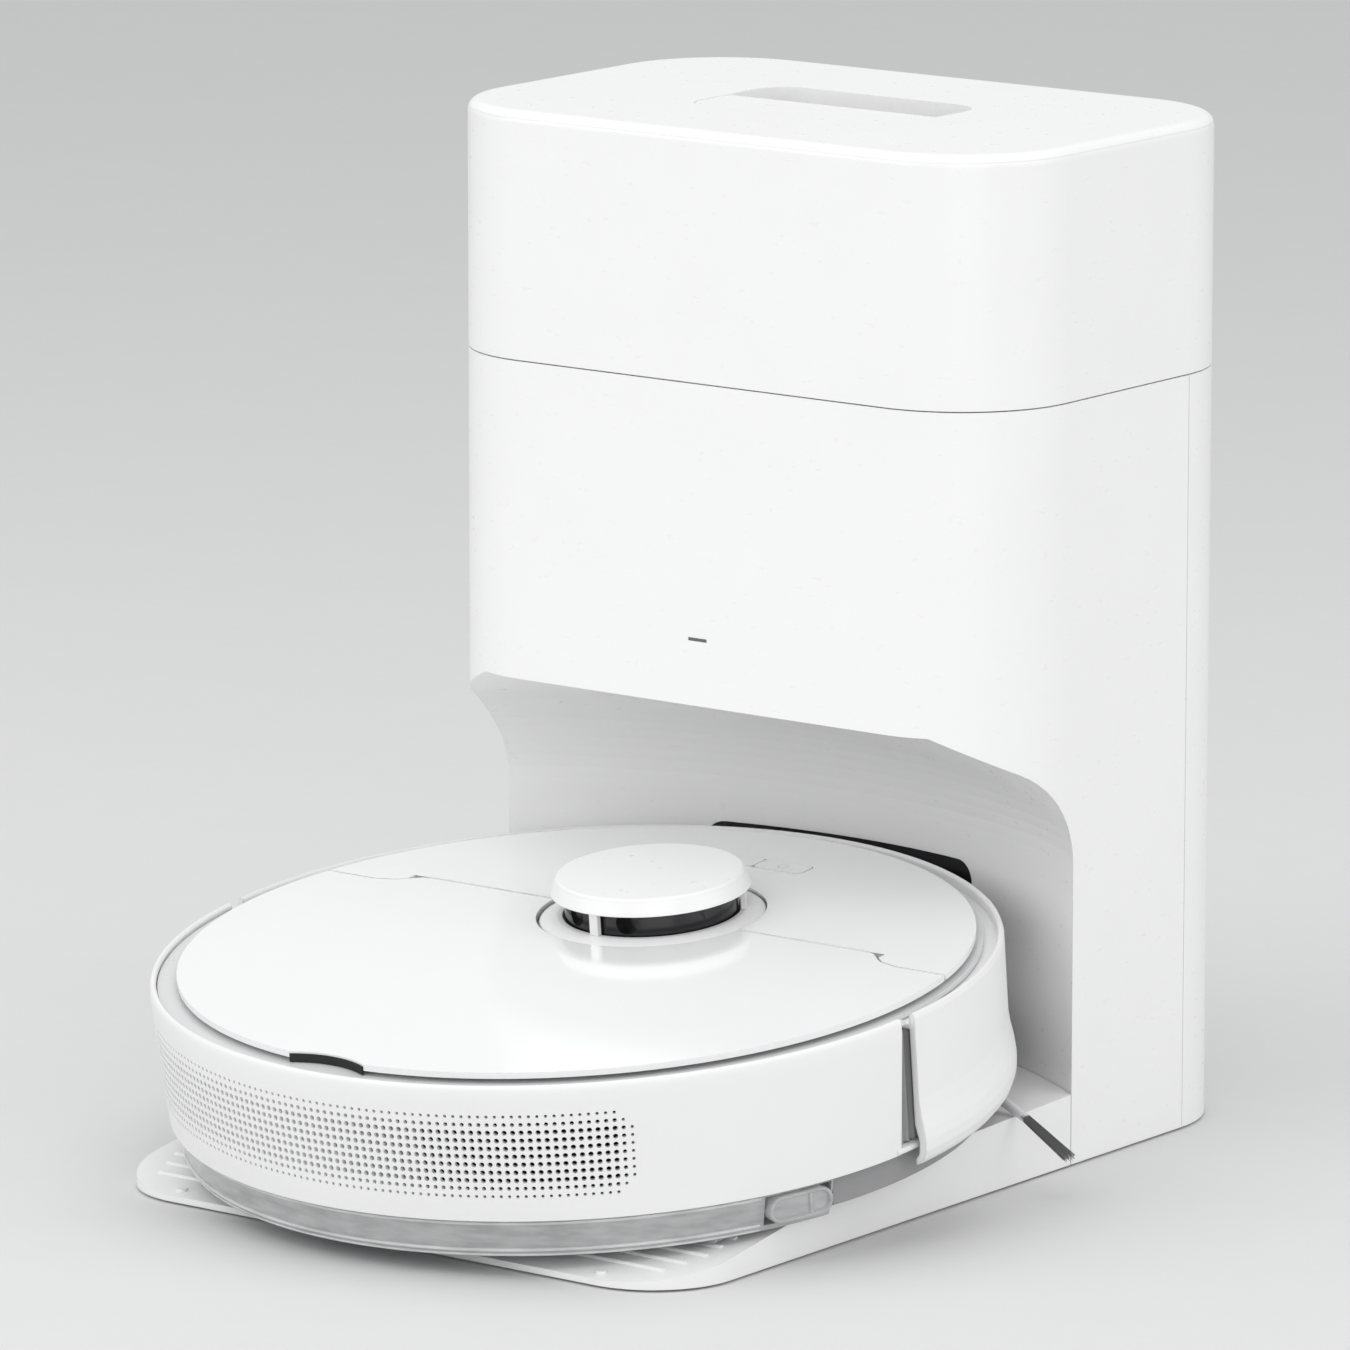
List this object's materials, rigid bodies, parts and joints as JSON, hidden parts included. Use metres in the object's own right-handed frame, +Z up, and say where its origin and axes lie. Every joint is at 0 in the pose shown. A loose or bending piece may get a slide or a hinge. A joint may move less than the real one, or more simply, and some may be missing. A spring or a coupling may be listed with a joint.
{
  "type": "robot vacuum with self-emptying dock",
  "caption": "Round robot vacuum with a scanning turret, sprung bumper and mopping tank, parked on the ramp of a white tower dock that empties it into a bag.",
  "frame": {"origin": "middle of the whole outline at floor level", "axes": "+Z up; -Y is the side the robot drives in from and +Y is the tower's back; +X is to the right when looking at the dock from the front"},
  "size_m": [0.3598, 0.4506, 0.426],
  "materials": {
    "bin_smoke": "smoky plastic",
    "black_window": "glossy infrared-clear black",
    "bristle": "nylon bristle",
    "card": "pressed card",
    "cell_wrap": "shrink-wrapped cells",
    "circuit": "green circuit board",
    "clear_tank": "smoky clear polycarbonate",
    "contact_metal": "plated contact",
    "dark_plastic": "matt dark grey plastic",
    "grey_plastic": "fine-grained light grey plastic",
    "grey_rubber": "soft grey rubber",
    "light_pipe": "smoked light pipe",
    "microfibre": "looped microfibre",
    "nonwoven": "non-woven bag fabric",
    "paper": "filter medium",
    "rubber": "soft black rubber",
    "steel": "plain steel",
    "tyre": "ribbed tyre rubber",
    "white_gloss": "glossy white ABS",
    "white_satin": "satin white ABS"
  },
  "bodies": {
    "dock": {"base_ramp": "white_satin", "tower_shell": "white_gloss", "rear_housing": "white_gloss", "niche_window": "black_window", "status_light": "light_pipe", "port_seal": "grey_rubber", "dust_duct": "dark_plastic", "bag_tray": "grey_plastic", "dust_bag": "nonwoven", "bag_collar": "card", "dock_motor": "dark_plastic", "exhaust_filter": "paper", "power_board": "circuit", "power_inlet": "dark_plastic", "dock_feet": "rubber", "dock_screws": "steel"},
    "tower_lid": {"dock_lid": "white_gloss", "lid_grip_panel": "white_gloss"},
    "contact_left": {"charge_contact_left": "contact_metal"},
    "contact_right": {"charge_contact_right": "contact_metal"},
    "suction_fan": {"dock_impeller": "dark_plastic"},
    "robot": {"chassis": "dark_plastic", "rear_band": "white_satin", "deck_frame": "grey_plastic", "top_deck": "white_gloss", "lid_hinge_pins": "steel", "turret_base": "white_satin", "turret_cap": "white_gloss", "dust_bin": "bin_smoke", "bin_filter": "paper", "battery": "cell_wrap", "main_board": "circuit", "fan_housing": "dark_plastic", "brush_guard": "dark_plastic", "brush_motor": "dark_plastic", "side_brush_motor": "dark_plastic", "charge_pads": "contact_metal", "cliff_sensors": "black_window"},
    "scanner": {"lidar_rotor": "black_window"},
    "bin_lid": {"rear_lid": "white_gloss"},
    "power_key": {"power_button": "white_satin"},
    "home_key": {"home_button": "white_satin"},
    "robot_fan": {"fan_impeller": "dark_plastic"},
    "bumper_body": {"bumper": "white_satin", "bumper_window": "black_window"},
    "roller": {"main_brush": "grey_rubber"},
    "corner_brush": {"side_brush": "white_satin", "side_bristles": "bristle"},
    "mop_unit": {"water_tank": "clear_tank", "mop_cloth": "microfibre"},
    "clip_left": {"tank_clip_left": "clear_tank"},
    "clip_right": {"tank_clip_right": "clear_tank"},
    "arm_left": {"wheel_arm_left": "dark_plastic"},
    "arm_right": {"wheel_arm_right": "dark_plastic"},
    "wheel_left": {"drive_wheel_left": "dark_plastic", "drive_tyre_left": "tyre"},
    "wheel_right": {"drive_wheel_right": "dark_plastic", "drive_tyre_right": "tyre"},
    "caster": {"caster_fork": "dark_plastic"},
    "caster_roller": {"caster_wheel": "rubber"}
  },
  "joints": [
    {"name": "lid_lift", "type": "slide", "parent": "dock", "child": "tower_lid", "axis": [0, 0, 1], "range_m": [0, 0.15]},
    {"name": "contact_left_press", "type": "slide", "parent": "dock", "child": "contact_left", "axis": [0, 0, -1], "range_m": [0, 0.003], "stiffness_N_per_m": 400, "springref_m": -0.001},
    {"name": "contact_right_press", "type": "slide", "parent": "dock", "child": "contact_right", "axis": [0, 0, -1], "range_m": [0, 0.003], "stiffness_N_per_m": 400, "springref_m": -0.001},
    {"name": "suction_fan_spin", "type": "hinge", "parent": "dock", "child": "suction_fan", "pos_m": [0.05557, 0.1793, 0.111], "axis": [0, 0, 1], "continuous": true},
    {"name": "robot_drive", "type": "slide", "parent": "dock", "child": "robot", "axis": [0, -0.9781, 0.2079], "range_m": [0, 0.3]},
    {"name": "scanner_spin", "type": "hinge", "parent": "robot", "child": "scanner", "pos_m": [-0.00243, -0.00036, 0.10472], "axis": [0, -0.0993, 0.9951], "continuous": true},
    {"name": "bin_lid_hinge", "type": "hinge", "parent": "robot", "child": "bin_lid", "pos_m": [-0.00243, -0.00639, 0.1017], "axis": [-1, 0, 0], "range_deg": [0, 75]},
    {"name": "power_button_press", "type": "slide", "parent": "robot", "child": "power_key", "axis": [0, 0.0993, -0.9951], "range_m": [0, 0.0006], "stiffness_N_per_m": 1500, "springref_m": -0.0003},
    {"name": "home_button_press", "type": "slide", "parent": "robot", "child": "home_key", "axis": [0, 0.0993, -0.9951], "range_m": [0, 0.0006], "stiffness_N_per_m": 1500, "springref_m": -0.0003},
    {"name": "robot_fan_spin", "type": "hinge", "parent": "robot", "child": "robot_fan", "pos_m": [0.08757, -0.1337, 0.05623], "axis": [0, -0.0993, 0.9951], "continuous": true},
    {"name": "bumper_press", "type": "slide", "parent": "robot", "child": "bumper_body", "axis": [0, -0.9951, -0.0993], "range_m": [0, 0.005], "stiffness_N_per_m": 400, "springref_m": -0.003},
    {"name": "main_brush_spin", "type": "hinge", "parent": "robot", "child": "roller", "pos_m": [-0.00243, -0.01768, 0.04168], "axis": [1, 0, 0], "continuous": true},
    {"name": "side_brush_spin", "type": "hinge", "parent": "robot", "child": "corner_brush", "pos_m": [0.10957, 0.06122, 0.03649], "axis": [0, -0.0993, 0.9951], "continuous": true, "deforming": ["side_bristles"]},
    {"name": "tank_release", "type": "slide", "parent": "robot", "child": "mop_unit", "axis": [0, -0.9951, -0.0993], "range_m": [0, 0.045]},
    {"name": "tank_clip_right_press", "type": "slide", "parent": "mop_unit", "child": "clip_right", "axis": [-0.9272, 0.3728, 0.0372], "range_m": [0, 0.0025], "stiffness_N_per_m": 600, "springref_m": -0.001},
    {"name": "tank_clip_left_press", "type": "slide", "parent": "mop_unit", "child": "clip_left", "axis": [0.9272, 0.3728, 0.0372], "range_m": [0, 0.0025], "stiffness_N_per_m": 600, "springref_m": -0.001},
    {"name": "suspension_left", "type": "hinge", "parent": "robot", "child": "arm_left", "pos_m": [-0.09543, -0.00783, 0.06377], "axis": [-1, 0, 0], "range_deg": [0, 10], "stiffness_Nm_per_rad": 3, "springref_deg": -11.46},
    {"name": "wheel_left_spin", "type": "hinge", "parent": "arm_left", "child": "wheel_left", "pos_m": [-0.11443, -0.04687, 0.05223], "axis": [1, 0, 0], "continuous": true},
    {"name": "suspension_right", "type": "hinge", "parent": "robot", "child": "arm_right", "pos_m": [0.09057, -0.00783, 0.06377], "axis": [-1, 0, 0], "range_deg": [0, 10], "stiffness_Nm_per_rad": 3, "springref_deg": -11.46},
    {"name": "wheel_right_spin", "type": "hinge", "parent": "arm_right", "child": "wheel_right", "pos_m": [0.10957, -0.04687, 0.05223], "axis": [1, 0, 0], "continuous": true},
    {"name": "caster_swivel", "type": "hinge", "parent": "robot", "child": "caster", "pos_m": [-0.00243, 0.07376, 0.05181], "axis": [0, -0.0993, 0.9951], "continuous": true},
    {"name": "caster_roll", "type": "hinge", "parent": "caster", "child": "caster_roller", "pos_m": [-0.00243, 0.06989, 0.04027], "axis": [1, 0, 0], "continuous": true}
  ],
  "couplings": [
    {"joint": "wheel_left_spin", "follows": "robot_drive", "rad_per_m": 30.303},
    {"joint": "wheel_right_spin", "follows": "robot_drive", "rad_per_m": 30.303}
  ]
}
